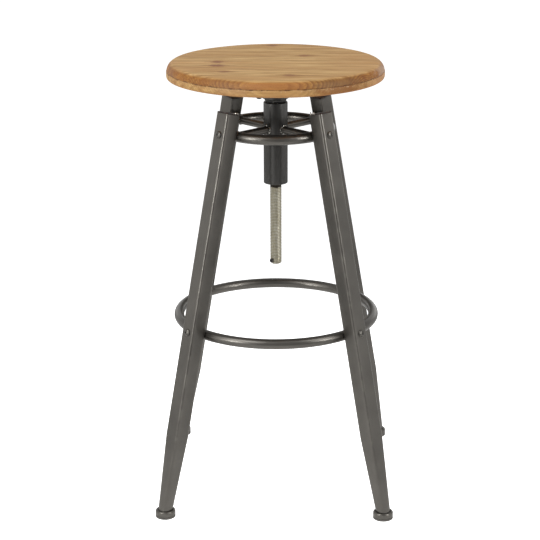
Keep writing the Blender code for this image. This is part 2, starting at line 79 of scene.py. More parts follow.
# Plate under the seat, and its screws: radius and drop below the plate round the flange
PLATE_LOW, PLATE_HIGH = (corner.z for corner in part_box("seat_plate"))
PLATE_SIDE = 0.200
PLATE_CORNER = 0.014
PLATE_TURN = math.radians(35.0)
PLATE_EASE = 0.0006
PLATE_SHARP_ANGLE = 25.0
PLATE_SCREWS = 4
SCREW_TIP = 0.0003
SCREW_SHANK = 0.0025
SCREW_FLANGE = ((0.0063, 0.0), (0.0065, 0.0004), (0.0063, 0.0014), (0.0046, 0.0018), (0.0043, 0.0024))
SCREW_DOME = (0.0042, 0.0022)
SCREW_DOME_SWEEP = math.pi * 0.28
# Its hexagon socket: width across the flats, rise above the head's lowest point
SCREW_SOCKET = ((0.0036, 0.0003), (0.0034, 0.0023))

# Legs, with the frame of each: +Z up its axis from the foot's socket, +X out of its outer face
LEG_LEAN = math.radians(13.1)
LEG_LENGTH = 0.630
LEG_TUBE = 0.0265
LEG_CORNER = 0.0038
# By how much |x| + |y| is more in the middle of a corner than at its ends
LEG_CORNER_REACH = 0.414 * LEG_CORNER
LEG_CROWN = 0.0002
LEG_END_DIAMETER = 0.022
LEG_END_FLAT = 0.0006
LEG_STATIONS = (0.25, 0.5, 0.75, 1.0)
LEG_SHARP_ANGLE = 40.0
SWAGE_LENGTH = 0.120
SWAGE_STEPS = 20
SOCKET_HEIGHT = 0.0110
FOOT_CIRCLE_RADIUS = 0.2421
CORNER_STEPS = 8
FACE_STEPS = 8
# Leg caps: inset from the tube's side and rise over its end, for the plug and for the head
CAP_PLUG = ((0.0025, -0.0100), (0.0020, -0.0090), (0.0020, SEAM_GAP))
CAP_PLUG_CORNER = 0.0015
CAP_HEAD = ((0.0002, 0.0), (0.0, 0.0002), (0.0, 0.0011), (0.0003, 0.0016), (0.0010, 0.0018))
# Droplets of weld on the legs' tops
DROP_COUNT = 6
DROP_SIZE = 0.0009
DROP_UNEVEN = 0.0005
DROP_START = -0.0008
DROP_PITCH = 0.0015
DROP_RISE = 0.0022

# Feet and floor pads
FOOT_RADIUS = 0.01575
FOOT_HEIGHT = 0.0092
FOOT_SHOULDER = 0.0034
FOOT_EDGE = 0.0006
SOCKET_CLEARANCE = 0.0008
SOCKET_EASE = 0.0003
FOOT_SOCKET = LEG_END_DIAMETER / 2 / math.cos(LEG_LEAN) + SOCKET_CLEARANCE
PAD_THICKNESS = 0.003
PAD_EDGE = 0.0007
FOOT_LOW = PAD_THICKNESS + SEAM_GAP
FOOT_STEPS = 64

# Rings, arms and their welds
RING_TUBE_RADIUS = 0.008
RING_INWARD = LEG_TUBE / 2 + SEAM_GAP + RING_TUBE_RADIUS
RING_STEPS = 216
RING_SECTION_STEPS = 36
UPPER_RING_HEIGHT = sum(corner.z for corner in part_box("upper_ring")) / 2
FOOTREST_HEIGHT = sum(corner.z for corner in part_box("footrest_ring")) / 2
ARM_RADIUS = 0.006
ARM_STEPS = 48
ARM_STATIONS = (0.0, 0.3, 0.7, 1.0)
BEAD_RADIUS = 0.0013
BEAD_SPREAD = 1.0 + 0.4 * BEAD_RADIUS / ARM_RADIUS
BEAD_LIFT = 0.35 * BEAD_RADIUS
BEAD_STEPS = 8
RIPPLE_STEPS = 4

# Hub sleeve, nut, bush, collar and buffer
SLEEVE_LOW, SLEEVE_HIGH = (corner.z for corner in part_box("hub_sleeve"))
SLEEVE_RADIUS = 0.019
SLEEVE_WALL = 0.003
SLEEVE_BORE = SLEEVE_RADIUS - SLEEVE_WALL
SLEEVE_EDGE = 0.0010
SLEEVE_BORE_EASE = 0.0005
SLEEVE_STEPS = 128
NUT_LEAD_IN = 0.0008
COLLAR_LOW, COLLAR_HIGH = (corner.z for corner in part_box("seat_collar"))
COLLAR_NECK_RADIUS = 0.0170
COLLAR_HOLLOW = 0.0037
COLLAR_EASE = 0.0004
BUFFER_RADIUS = 0.01625
BUFFER_ROUND = 0.6

# Spindle, and one turn of its thread: fall below the crest and rise, as shares of its depth and lead
SPINDLE_LOW, SPINDLE_HIGH = (corner.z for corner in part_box("spindle"))
SPINDLE_RADIUS = 0.009
SPINDLE_BORE = SPINDLE_RADIUS + SEAM_GAP
SPINDLE_CHAMFER = 0.0016
SPINDLE_SHARP_ANGLE = 60.0
THREAD_LEAD = 0.0025
THREAD_DEPTH = 0.0004
THREAD_PROUD = 0.00015
SPINDLE_CREST = SPINDLE_RADIUS + THREAD_PROUD
SPINDLE_PLAIN = SPINDLE_CREST - THREAD_DEPTH / 2
THREAD_RIDGE = ((1.0, 0.0), (1.0, 0.14), (0.3, 0.40), (0.0, 0.48), (0.0, 0.66), (0.3, 0.74), (1.0, 1.0))
THREAD_MARGIN = 0.0004
THREAD_RUNOUT = 1.5 * THREAD_LEAD
THREAD_STEPS = 32
THREAD_MERGE = 1e-5
# Stop screw: its point by radius and way out from the spindle's axis, then its head from the spindle's side
STOP_SCREW_AZIMUTH = math.radians(228.0)
STOP_SCREW_FROM_END = 0.0058
STOP_SCREW_POINT = ((0.0004, 0.0020), (0.0020, 0.0025))
STOP_SCREW_HEAD = ((0.0020, 0.0), (0.0030, 0.0), (0.00325, 0.0003))
STOP_SCREW_RIM = 0.0016
STOP_SCREW_ROUND = (0.0013, 0.0012)
STOP_SCREW_SOCKET = ((0.0028, 0.0), (0.0026, -0.0016))

# Bolts: radius and height over the head's seat up to the dome, then the socket by its width across the flats
# and rise over the dome's edge
UPPER_BOLT_DROP = 0.0331
UPPER_BOLT_STATION = LEG_LENGTH - UPPER_BOLT_DROP
FOOTREST_BOLT_RISE = 0.0025
BOLT_ROWS = ((0.0016, -0.0405), (0.0025, -0.0395), (0.0025, 0.0), (0.0056, 0.0), (0.0057, 0.0002))
BOLT_HEAD_RIM = 0.0006
BOLT_DOME = (0.0057, 0.0026)
BOLT_DOME_SWEEP = math.pi * 0.35
BOLT_SOCKET = ((0.0031, 0.0001), (0.0030, -0.0014))
BOLT_SOCKET_POINT = (0.0005, -0.0018)
BOLT_STEPS = 24

# Camera of the front view: angles in radians, lens and sensor in millimetres
CAMERA_PITCH = 0.2989
CAMERA_ROLL = -0.0040
CAMERA_YAW = 0.0036
CAMERA_TURN = 0.0245
CAMERA_SPOT = (0.0, -2.7, 1.1860)
CAMERA_LENS = 117.05
CAMERA_SENSOR = 36.0

# Lights: bearing from the front to the right and elevation in degrees, width and height, power, and whether
# they light more than the metal's shine
LIGHT_DISTANCE = 2.6
LIGHT_TARGET = (0.0, 0.0, 0.4)
LIGHTS = {
    "left_softbox": (-45.0, 48.0, (1.5, 1.2), 24.0, True),
    "right_softbox": (63.0, 46.0, (1.3, 1.4), 17.0, True),
    "left_strip": (-46.0, 14.0, (0.5, 0.9), 23.0, False),
    "right_strip": (56.0, 17.0, (0.35, 0.8), 17.0, False),
    "rim_strip": (97.0, 17.0, (0.12, 0.8), 1.6, False),
    "back_left_strip": (-160.0, 6.0, (1.4, 1.0), 2.6, False),
    "back_right_strip": (158.0, 6.0, (1.4, 1.0), 4.0, False),
}
# Light of the room from its left wall to its right, and the floor's half width
WALL_LIGHT = ((0.0, 0.78), (0.4, 0.38), (0.6, 0.38), (1.0, 0.55))
FLOOR_HALF = 30.0


def linear(*shade):
    """A colour read off a screen, from 0 to 255, as linear light."""
    parts = [value / 255.0 for value in shade]
    return (*(c / 12.92 if c <= 0.04045 else ((c + 0.055) / 1.055) ** 2.4 for c in parts), 1.0)


def grey(level):
    return (level, level, level, 1.0)


class Recipe:
    """A tree of nodes that feeds one shader: a finish, or the light of the room."""

    def __init__(self, name, kind="materials", shader="Principled BSDF"):
        self.owner = getattr(bpy.data, kind).new(name)
        self.owner.use_nodes = True
        self.tree = self.owner.node_tree
        self.shader = self.tree.nodes[shader]

    def node(self, kind, inputs=(), **settings):
        node = self.tree.nodes.new(kind)
        for key, value in settings.items():
            setattr(node, key, value)
        for key, value in dict(inputs).items():
            self.feed(node.inputs[key], value)
        return node

    def feed(self, socket, value):
        if isinstance(value, bpy.types.NodeSocket):
            self.tree.links.new(value, socket)
        else:
            socket.default_value = value

    def point(self):
        return self.node("ShaderNodeTexCoord").outputs["Object"]

    def seen(self):
        return self.node("ShaderNodeLightPath").outputs["Is Camera Ray"]

    def split(self, point):
        return self.node("ShaderNodeSeparateXYZ", {0: point}).outputs

    def join(self, x, y, z):
        return self.node("ShaderNodeCombineXYZ", {0: x, 1: y, 2: z}).outputs[0]

    def math(self, operation, *values):
        return self.node("ShaderNodeMath", enumerate(values), operation=operation).outputs[0]

    def times(self, first, second):
        return self.math("MULTIPLY", first, second)

    def length(self, *parts):
        squares = [self.times(part, part) for part in parts]
        total = squares[0]
        for square in squares[1:]:
            total = self.math("ADD", total, square)
        return self.math("SQRT", total)

    def oval(self, along, across, half_along, half_across):
        """How far out a place is from the middle of an oval, whose edge is at 1."""
        return self.length(self.math("DIVIDE", along, half_along), self.math("DIVIDE", across, half_across))

    def cloud(self, point, scale, detail=3.0, rough=0.5):
        inputs = {"Vector": point, "Scale": scale, "Detail": detail, "Roughness": rough}
        return self.node("ShaderNodeTexNoise", inputs).outputs["Fac"]

    def spread(self, value, low, high, to_low=0.0, to_high=1.0):
        """Eases from to_low to to_high as the value goes from low to high."""
        inputs = {0: value, 1: low, 2: high, 3: to_low, 4: to_high}
        return self.node("ShaderNodeMapRange", inputs, interpolation_type="SMOOTHSTEP").outputs[0]

    def ramp(self, factor, stops):
        node = self.node("ShaderNodeValToRGB", {0: factor})
        elements = node.color_ramp.elements
        while len(elements) < len(stops):
            elements.new(0.5)
        for element, (place, colour) in zip(elements, stops):
            element.position = place
            element.color = colour
        return node.outputs[0]

    def mix(self, factor, first, second, blend="MIX"):
        node = self.node("ShaderNodeMix", data_type="RGBA", blend_type=blend)
        for key, value in ((0, factor), (6, first), (7, second)):
            self.feed(node.inputs[key], value)
        return node.outputs[2]

    def relief(self, height, depth, strength):
        inputs = {"Height": height, "Distance": depth, "Strength": strength}
        self.feed(self.shader.inputs["Normal"], self.node("ShaderNodeBump", inputs).outputs[0])

    def set(self, **values):
        for key, value in values.items():
            self.feed(self.shader.inputs[key.replace("_", " ")], value)


# Pine from its dark grain to its pale grain, and the colours that lie over it
PINE = ((0.40, linear(164, 121, 69)), (0.50, linear(200, 160, 103)), (0.60, linear(227, 190, 131)))
PINE_WARM = linear(192, 138, 82)
LATE_WOOD = linear(132, 88, 48)
EDGE_PALE = linear(228, 200, 148)
EDGE_BROWN = linear(194, 154, 92)
BAND_TINT = linear(250, 244, 230)
FOOT_BROWN = linear(186, 126, 68)
KNOT_TRAIL = linear(140, 92, 54)
KNOT_DARK = linear(112, 62, 38)
KNOT_PALE = linear(154, 98, 64)
# Painted shade along the groove below the rounded edge
GROOVE_SHADE = linear(104, 66, 32)
SPLINTER_PALE = linear(214, 184, 142)
# How far the grain is drawn out along X, and how far it strays across
FIBRE_STRETCH = 0.035
STRAND_STRETCH = 0.09
DRIFT_STRETCH = 0.12
GRAIN_DRIFT = 0.006
# Knots of the board: centre, half length along the grain, half width across it, depth of colour
KNOTS = (
    (-0.0900, -0.0060, 0.0105, 0.0130, 0.78),
    (-0.0890, -0.0375, 0.0145, 0.0115, 0.88),
    (-0.0755, -0.0875, 0.0105, 0.0108, 0.52),
    (0.0440, 0.0500, 0.0100, 0.0112, 0.50),
    (0.0235, -0.1150, 0.0105, 0.0104, 0.50),
    (-0.0080, 0.1430, 0.0100, 0.0130, 0.56),
)
# Glue lines between the boards, then each board's heart: how far across and how high
GLUE_LINES = (-0.058, 0.052)
HEARTS = ((-0.093, -0.040), (-0.012, -0.055), (0.118, -0.035))
RING_SPACING = 0.0026
# Stains on the rounded edge and on the band below it, with a pale patch at 78 degrees that lightens the right
# end: bearing from the front to the right and half width in degrees, colour, strength
EDGE_STAINS = (
    (0.0, 15.0, (176, 116, 62), 0.60),
    (-27.0, 9.0, (148, 104, 58), 0.35),
    (34.0, 13.0, (126, 88, 40), 0.62),
    (-74.0, 10.0, (150, 104, 64), 0.50),
    (78.0, 9.0, (186, 160, 138), 0.60),
    (140.0, 14.0, (150, 106, 66), 0.50),
    (-150.0, 18.0, (192, 134, 80), 0.50),
)
BAND_STAINS = (
    (36.0, 13.0, (146, 91, 32), 0.86),
    (-20.0, 8.0, (190, 144, 92), 0.50),
    (4.0, 9.0, (206, 158, 100), 0.45),
    (72.0, 12.0, (196, 140, 92), 0.60),
    (165.0, 12.0, (170, 116, 70), 0.60),
    (-118.0, 14.0, (172, 122, 78), 0.55),
)


def mark_knots(wood, point, x, y):
    """The line of the grain as it flows past the knots, the knots, and the streaks that trail from them."""
    drift = wood.cloud(wood.join(wood.times(x, DRIFT_STRETCH), y, 0.0), 30.0, 2.0)
    flow = wood.math("MULTIPLY_ADD", drift, GRAIN_DRIFT, y)
    ragged = wood.times(wood.cloud(point, 260.0, 3.0), 0.9)
    knot = trail = 0.0
    for centre_x, centre_y, half_x, half_y, depth in KNOTS:
        along = wood.math("SUBTRACT", x, centre_x)
        across = wood.math("SUBTRACT", y, centre_y)
        pull = wood.spread(wood.oval(along, across, half_x * 3.0, half_y * 2.6), 1.0, 0.0, 0.0, 0.8)
        flow = wood.math("SUBTRACT", flow, wood.times(across, pull))
        inside = wood.oval(along, across, half_x, half_y)
        core = wood.spread(wood.math("ADD", inside, ragged), 1.65, 0.80, 0.0, depth)
        drawn = wood.oval(along, across, half_x * 2.5, half_y * 0.65)
        streak = wood.spread(wood.math("ADD", drawn, ragged), 1.60, 0.60, 0.0, depth)
        knot = wood.math("MAXIMUM", knot, core)
        trail = wood.math("MAXIMUM", trail, streak)
    return flow, knot, trail


def growth_rings(wood, y, flow, height):
    """Late wood from 0 to 1, in rings about the heart of the board that this place is in."""
    front = wood.math("LESS_THAN", y, GLUE_LINES[0])
    back = wood.math("GREATER_THAN", y, GLUE_LINES[1])
    heart_y, heart_z = HEARTS[1]
    for board, (other_y, other_z) in ((front, HEARTS[0]), (back, HEARTS[2])):
        heart_y = wood.math("MULTIPLY_ADD", board, other_y - HEARTS[1][0], heart_y)
        heart_z = wood.math("MULTIPLY_ADD", board, other_z - HEARTS[1][1], heart_z)
    from_heart = wood.length(wood.math("SUBTRACT", flow, heart_y), wood.math("SUBTRACT", height, heart_z))
    ring = wood.math("FRACT", wood.math("DIVIDE", from_heart, RING_SPACING))
    return wood.times(wood.spread(ring, 0.20, 0.80), wood.spread(ring, 1.0, 0.88))


def plain_grain(wood, x, z, flow, specks):
    """The colour of the plain wood, which warms to the right, and its finest fibres."""
    fibre = wood.join(wood.times(x, FIBRE_STRETCH), flow, z)
    strand = wood.join(wood.times(x, STRAND_STRETCH), flow, z)
    streaks = wood.cloud(strand, 150.0, 3.0, 0.6)
    bands = wood.cloud(fibre, 55.0, 2.0)
    hairs = wood.cloud(fibre, 1500.0, 2.0)
    tone = 0.0
    for layer, weight in ((streaks, 0.46), (bands, 0.34), (hairs, 0.10), (specks, 0.10)):
        tone = wood.math("MULTIPLY_ADD", layer, weight, tone)
    warm = wood.spread(wood.cloud(strand, 26.0, 2.0), 0.46, 0.68, 0.0, 0.30)
    warm = wood.math("ADD", warm, wood.spread(x, 0.05, 0.15, 0.0, 0.25))
    return wood.mix(warm, wood.ramp(tone, PINE), PINE_WARM), hairs


def edge_zones(wood, height):
    """The rounded edge, the band below its groove and the band's foot, each from 0 to 1."""
    band = wood.spread(height, -SEAT_SLOPE_DROP + 0.0002, -SEAT_SLOPE_DROP - 0.0004)
    rounded = wood.math("SUBTRACT", wood.spread(height, -0.0004, -0.0034), band)
    underside = SEAT_LOW - SEAT_HIGH
    foot = wood.spread(height, underside + 0.0045, underside + 0.0010)
    return rounded, band, foot


def stain(wood, colour, zone, bearing, fray, stains):
    """Lays stains at their bearings over one zone of the edge."""
    for centre, half, shade, strength in stains:
        off = wood.math("ABSOLUTE", wood.math("SUBTRACT", bearing, math.radians(centre)))
        patch = wood.spread(wood.math("ADD", off, fray), math.radians(half * 1.5), math.radians(half * 0.5))
        patch = wood.times(wood.times(patch, strength), zone)
        colour = wood.mix(patch, colour, linear(*shade))
    return colour


def groove_shade_and_splinters(wood, colour, point, height, bearing):
    """A broken dark line of painted shade along the groove round the rim, with pale splinters below it."""
    round_rim = wood.join(wood.times(bearing, SEAT_RADIUS), 0.0, 0.0)
    chips = wood.cloud(round_rim, 75.0, 5.0, 0.65)
    wander = wood.cloud(round_rim, 48.0, 3.0)
    line = wood.math("MULTIPLY_ADD", wander, 0.0044, -SEAT_SLOPE_DROP - 0.0026)
    below = wood.math("SUBTRACT", line, height)
    off = wood.math("ABSOLUTE", below)
    wide = wood.spread(chips, 0.38, 0.64, 0.0007, 0.0016)
    fill = wood.times(wood.spread(wood.math("DIVIDE", off, wide), 1.0, 0.3), 0.9)
    # Painted shade: a broken dark line where the groove's shade falls
    groove = wood.times(fill, wood.spread(chips, 0.36, 0.60, 0.10, 1.0))
    colour = wood.mix(groove, colour, GROOVE_SHADE)
    under = wood.times(wood.spread(below, 0.0008, 0.0014), wood.spread(below, 0.0040, 0.0022))
    splinter = wood.times(under, wood.spread(wood.cloud(point, 520.0, 2.0), 0.57, 0.68, 0.0, 0.7))
    return wood.mix(splinter, colour, SPLINTER_PALE)


def pine_board():
    """Pine with its grain along X: growth rings, knots, stained edges and a worn groove with painted shade
    along it.
    """
    wood = Recipe("pine_board")
    point = wood.point()
    x, y, z = wood.split(point)
    height = wood.math("SUBTRACT", z, SEAT_HIGH)
    bearing = wood.math("ARCTAN2", x, wood.times(y, -1.0))
    flow, knot, trail = mark_knots(wood, point, x, y)
    late = growth_rings(wood, y, flow, height)
    rounded, band, foot = edge_zones(wood, height)
    specks = wood.cloud(point, 900.0, 3.0, 0.6)
    colour, hairs = plain_grain(wood, x, z, flow, specks)
    open_grain = wood.spread(wood.cloud(point, 30.0, 2.0), 0.42, 0.60, -0.20, 0.42)
    ring_depth = wood.math("MULTIPLY_ADD", rounded, open_grain, 0.26)
    colour = wood.mix(wood.times(late, ring_depth), colour, LATE_WOOD)
    browned = wood.mix(wood.spread(specks, 0.40, 0.64), EDGE_PALE, EDGE_BROWN)
    colour = wood.mix(rounded, colour, wood.mix(1.0, colour, browned, "MULTIPLY"))
    colour = wood.mix(band, colour, wood.mix(1.0, colour, BAND_TINT, "MULTIPLY"))
    fray = wood.math("MULTIPLY_ADD", wood.cloud(point, 130.0, 4.0, 0.6), 0.5, -0.25)
    colour = stain(wood, colour, rounded, bearing, fray, EDGE_STAINS)
    colour = stain(wood, colour, band, bearing, fray, BAND_STAINS)
    colour = wood.mix(wood.times(foot, 0.45), colour, FOOT_BROWN)
    colour = wood.mix(wood.times(trail, 0.72), colour, KNOT_TRAIL)
    colour = wood.mix(knot, colour, wood.mix(specks, KNOT_DARK, KNOT_PALE))
    wood.set(
        Base_Color=groove_shade_and_splinters(wood, colour, point, height, bearing),
        Roughness=wood.spread(hairs, 0.3, 0.7, 0.46, 0.62),
        Specular_IOR_Level=0.35,
    )
    grain = wood.math("MULTIPLY_ADD", late, -0.5, wood.times(hairs, 0.8))
    wood.relief(grain, 0.0003, 0.5)
    return wood.owner


def metal_paint(name, shade, metallic, roughness):
    """Baked paint with metal flake: slow clouds, a fine orange peel, and corners rubbed brighter."""
    paint = Recipe(name)
    point = paint.point()
    slow = paint.cloud(point, 16.0, 3.0)
    peel = paint.cloud(point, 1400.0, 2.0)
    flake = paint.cloud(point, 5200.0, 1.0)
    dark, pale, bright = (linear(*(value * part for value in shade)) for part in (0.95, 1.05, 1.5))
    colour = paint.mix(paint.spread(slow, 0.3, 0.7), dark, pale)
    colour = paint.mix(paint.spread(flake, 0.62, 0.80, 0.0, 0.3), colour, bright)
    corner = paint.node("ShaderNodeAttribute", attribute_name="corner").outputs["Fac"]
    wear = paint.spread(paint.cloud(point, 60.0, 4.0), 0.42, 0.66, 0.0, 0.25)
    colour = paint.mix(paint.times(corner, wear), colour, linear(150, 146, 138))
    paint.set(
        Base_Color=colour,
        Metallic=metallic,
        Roughness=paint.spread(slow, 0.3, 0.7, roughness - 0.02, roughness + 0.02),
    )
    paint.relief(peel, 0.00006, 0.35)
    return paint.owner


def spindle_steel():
    """Rolled steel thread: bright on the crests, tarnished in the roots, and darkened just below the nut by
    painted shadow of the sleeve with some greasy dirt.
    """
    steel = Recipe("spindle_steel")
    point = steel.point()
    x, y, z = steel.split(point)
    out = steel.length(x, y)
    crest = steel.spread(out, SPINDLE_CREST - THREAD_DEPTH, SPINDLE_CREST - 0.00008)
    tarnish = steel.cloud(steel.join(x, y, steel.times(z, 0.25)), 120.0, 4.0, 0.6)
    bright = steel.mix(steel.spread(tarnish, 0.35, 0.65), linear(172, 168, 150), linear(195, 193, 179))
    colour = steel.mix(crest, linear(140, 132, 112), bright)
    # Painted shadow: a ragged dark band just below the sleeve, where the sleeve shades the spindle, with some
    # greasy dirt
    ragged = steel.math("MULTIPLY_ADD", steel.cloud(point, 240.0, 3.0), -0.0060, z)
    below = steel.spread(ragged, SLEEVE_LOW - 0.0105, SLEEVE_LOW - 0.0085)
    sleeve_shadow_and_grease = steel.times(below, steel.spread(z, SLEEVE_LOW + 0.0120, SLEEVE_LOW + 0.0060))
    steel.set(
        Base_Color=steel.mix(sleeve_shadow_and_grease, colour, linear(52, 48, 42)),
        Metallic=0.9,
        Roughness=steel.spread(tarnish, 0.3, 0.7, 0.42, 0.52),
    )
    steel.relief(steel.cloud(point, 1800.0, 2.0), 0.00004, 0.4)
    return steel.owner


def fastener_steel(name, dull, bright):
    """Blacked steel, worn a little brighter in places."""
    black = Recipe(name)
    point = black.point()
    worn = black.spread(black.cloud(point, 420.0, 4.0, 0.6), 0.48, 0.72)
    black.set(
        Base_Color=black.mix(worn, linear(*dull), linear(*bright)),
        Metallic=0.85,
        Roughness=black.spread(worn, 0.0, 1.0, 0.36, 0.28),
    )
    black.relief(black.cloud(point, 2600.0, 2.0), 0.00003, 0.4)
    return black.owner


def weld_metal(name, painted, bare_and_glint):
    """Painted-over weld with silvery spots where the paint is rubbed off, which also stand in as painted
    glints.
    """
    bead = Recipe(name)
    point = bead.point()
    # Painted glints: pale spots of rubbed-off paint on the weld
    spots = bead.spread(bead.cloud(point, 330.0, 2.0), 0.50, 0.60)
    bead.set(
        Base_Color=bead.mix(spots, linear(*painted), linear(*bare_and_glint)),
        Metallic=0.8,
        Roughness=bead.spread(spots, 0.0, 1.0, 0.34, 0.26),
    )
    bead.relief(bead.cloud(point, 900.0, 3.0), 0.0002, 0.5)
    return bead.owner


def moulded(name, shade, roughness, grain=2200.0):
    """Moulded plastic or rubber with a fine skin and a little dust in its tone."""
    plastic = Recipe(name)
    point = plastic.point()
    dust = plastic.cloud(point, 90.0, 4.0, 0.6)
    dark, pale = (linear(*(value * part for value in shade)) for part in (0.88, 1.16))
    plastic.set(
        Base_Color=plastic.mix(plastic.spread(dust, 0.3, 0.7), dark, pale),
        Roughness=plastic.spread(dust, 0.3, 0.7, roughness - 0.06, roughness + 0.06),
    )
    plastic.relief(plastic.cloud(point, grain, 2.0), 0.00006, 0.4)
    return plastic.owner


def turned_brass():
    """Turned brass with fine tool marks round its axis."""
    brass = Recipe("turned_brass")
    point = brass.point()
    x, y, z = brass.split(point)
    marks = brass.cloud(brass.join(brass.length(x, y), 0.0, z), 3800.0, 2.0)
    tarnish = brass.cloud(point, 150.0, 3.0)
    brass.set(
        Base_Color=brass.mix(brass.spread(tarnish, 0.3, 0.7), linear(150, 122, 72), linear(186, 156, 98)),
        Metallic=0.95,
        Roughness=brass.spread(tarnish, 0.3, 0.7, 0.30, 0.42),
    )
    brass.relief(marks, 0.00003, 0.5)
    return brass.owner


def studio_floor():
    """Matt floor that glows by the stool, in one pool and far to the sides. The camera sees it white. Its own
    colour is pale by the stool and darker away from it, least to the sides: painted shade.
    """
    floor = Recipe("studio_floor")
    point = floor.point()
    x, y, _ = floor.split(point)
    out = floor.length(x, y)
    aside = floor.math("DIVIDE", floor.math("ABSOLUTE", x), floor.math("MAXIMUM", out, 0.1))
    side = floor.spread(aside, 0.35, 0.85)
    near = floor.mix(floor.cloud(point, 0.6, 2.0), grey(0.80), grey(0.83))
    far = floor.mix(side, grey(0.38), grey(0.80))
    sweep = floor.times(floor.spread(out, 2.5, 5.0, 0.0, 1.05), side)
    from_pool = floor.length(floor.math("ADD", x, 1.25), floor.math("ADD", y, 1.85))
    pool = floor.spread(from_pool, 1.2, 0.3, 0.0, 1.5)
    glow = floor.math("ADD", floor.math("ADD", sweep, pool), floor.spread(out, 0.5, 1.2, 0.43, 0.0))
    floor.set(
        # Painted shade: the floor darkens away from the stool, least to its sides
        Base_Color=floor.mix(floor.spread(out, 0.6, 2.4), near, far),
        Roughness=0.9,
        Specular_IOR_Level=0.1,
        Emission_Color=grey(1.0),
        Emission_Strength=floor.math("MULTIPLY_ADD", floor.seen(), 0.9, glow),
    )
    return floor.owner


def make_looks():
    return {
        "pine": pine_board(),
        "gunmetal": metal_paint("gunmetal_paint", (98, 95, 90), 0.80, 0.31),
        # A darker copy of the gunmetal paint: its own tone and painted shade for the sleeve, collar and plate
        # under the seat
        "hub": metal_paint("hub_paint", (76, 75, 73), 0.75, 0.32),
        "steel": spindle_steel(),
        "black": fastener_steel("fastener_black", (58, 56, 54), (112, 108, 102)),
        "bolt": fastener_steel("bolt_steel", (84, 82, 78), (134, 130, 122)),
        # Weld beads whose pale spots are painted glints
        "hub_weld": weld_metal("hub_weld", (78, 76, 72), (222, 220, 212)),
        # The droplets are pale all over: painted glints on the legs' tops, on real droplets of weld
        "drops": weld_metal("weld_drops", (168, 164, 156), (236, 234, 228)),
        "cap": moulded("cap_plastic", (58, 46, 40), 0.42),
        "pad": moulded("pad_plastic", (98, 95, 90), 0.55),
        "rubber": moulded("buffer_rubber", (26, 26, 26), 0.7, 1200.0),
        "brass": turned_brass(),
    }


def link(name, data):
    """A new object in the scene that shows this data."""
    thing = bpy.data.objects.new(name, data)
    bpy.context.scene.collection.objects.link(thing)
    return thing


def as_object(name, shape, look):
    """A new object of one finish, with this shape as its mesh."""
    mesh = bpy.data.meshes.new(name)
    shape.to_mesh(mesh)
    shape.free()
    mesh.materials.append(look)
    return link(name, mesh)


def add_piece(name, shape, look, body, nodes=(), sharp=SHARP_ANGLE, place=Matrix()):
    """Puts a shape in its place, closes its seams, turns its faces outwards and hangs it on a body."""
    bmesh.ops.transform(shape, matrix=place, verts=shape.verts)
    bmesh.ops.remove_doubles(shape, verts=shape.verts, dist=MERGE_DISTANCE)
    bmesh.ops.recalc_face_normals(shape, faces=shape.faces)
    piece = as_object(name, shape, look)
    piece.data.shade_smooth()
    piece.data.set_sharp_from_angle(angle=math.radians(sharp))
    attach(piece, body)
    if nodes:
        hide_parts(*nodes)


def arc(centre, radii, start, end, steps):
    """Points along an elliptic arc about a centre, from one angle to another."""
    angles = [start + (end - start) * step / steps for step in range(steps + 1)]
    return [(centre[0] + radii[0] * math.cos(a), centre[1] + radii[1] * math.sin(a)) for a in angles]


def turned(profile, steps, closed=False, lead=0.0):
    """Spins a profile of (radius, height) points once round Z, and up by a lead."""
    shape = bmesh.new()
    points = [shape.verts.new((radius, 0.0, height)) for radius, height in profile]
    pairs = list(zip(points, points[1:]))
    if closed:
        pairs.append((points[-1], points[0]))
    edges = [shape.edges.new(pair) for pair in pairs]
    bmesh.ops.spin(
        shape, geom=points + edges, cent=(0, 0, 0), dvec=(0, 0, lead / steps), axis=(0, 0, 1),
        angle=math.tau, steps=steps, use_merge=lead == 0.0,
    )
    return shape


def skin(sections, capped=True):
    """Extrudes one open ring of edges through a row of sections, each a loop of as many points."""
    shape = bmesh.new()
    ring = bmesh.ops.create_circle(shape, cap_ends=False, segments=len(sections[0]), radius=0.01)["verts"]
    first = edges = list(shape.edges)
    for vert, point in zip(ring, sections[0]):
        vert.co = point
    for section in sections[1:]:
        grown = bmesh.ops.extrude_edge_only(shape, edges=edges)["geom"]
        fresh = {part for part in grown if isinstance(part, bmesh.types.BMVert)}
        ring = [next(e.other_vert(v) for e in v.link_edges if e.other_vert(v) in fresh) for v in ring]
        edges = list({e for v in ring for e in v.link_edges if e.other_vert(v) in fresh})
        for vert, point in zip(ring, section):
            vert.co = point
    if capped:
        bmesh.ops.edgeloop_fill(shape, edges=first)
        bmesh.ops.edgeloop_fill(shape, edges=edges)
    return shape


def rounded_square(half, corner):
    """Points round a square with rounded corners, as seen along its axis."""
    points = []
    for quarter in range(4):
        turn = quarter * math.pi / 2
        centre = Matrix.Rotation(turn, 2) @ Vector((half - corner, half - corner))
        points += arc(centre, (corner, corner), turn, turn + math.pi / 2, CORNER_STEPS)
    return points


def square_skin(stages):
    """Skins rounded squares, each given by its half width, corner and height."""
    return skin([[(x, y, level) for x, y in rounded_square(half, corner)] for half, corner, level in stages])


def crowned_square(half, corner, crown):
    """Points round a square tube whose faces are a little proud in their middles."""
    points = []
    flat = half - corner
    for quarter in range(4):
        turn = Matrix.Rotation(quarter * math.pi / 2, 2)
        side = []
        for step in range(1, FACE_STEPS):
            share = 2 * step / FACE_STEPS - 1
            side.append(Vector((half + crown * (1 - share**2), share * flat)))
        corner_arc = arc((flat, flat), (corner, corner), 0.0, math.pi / 2, CORNER_STEPS)
        points += [tuple(turn @ Vector(point)) for point in side + corner_arc]
    return points


def circle_section(radius, height):
    angles = [math.tau * step / BOLT_STEPS for step in range(BOLT_STEPS)]
    return [(radius * math.cos(a), radius * math.sin(a), height) for a in angles]


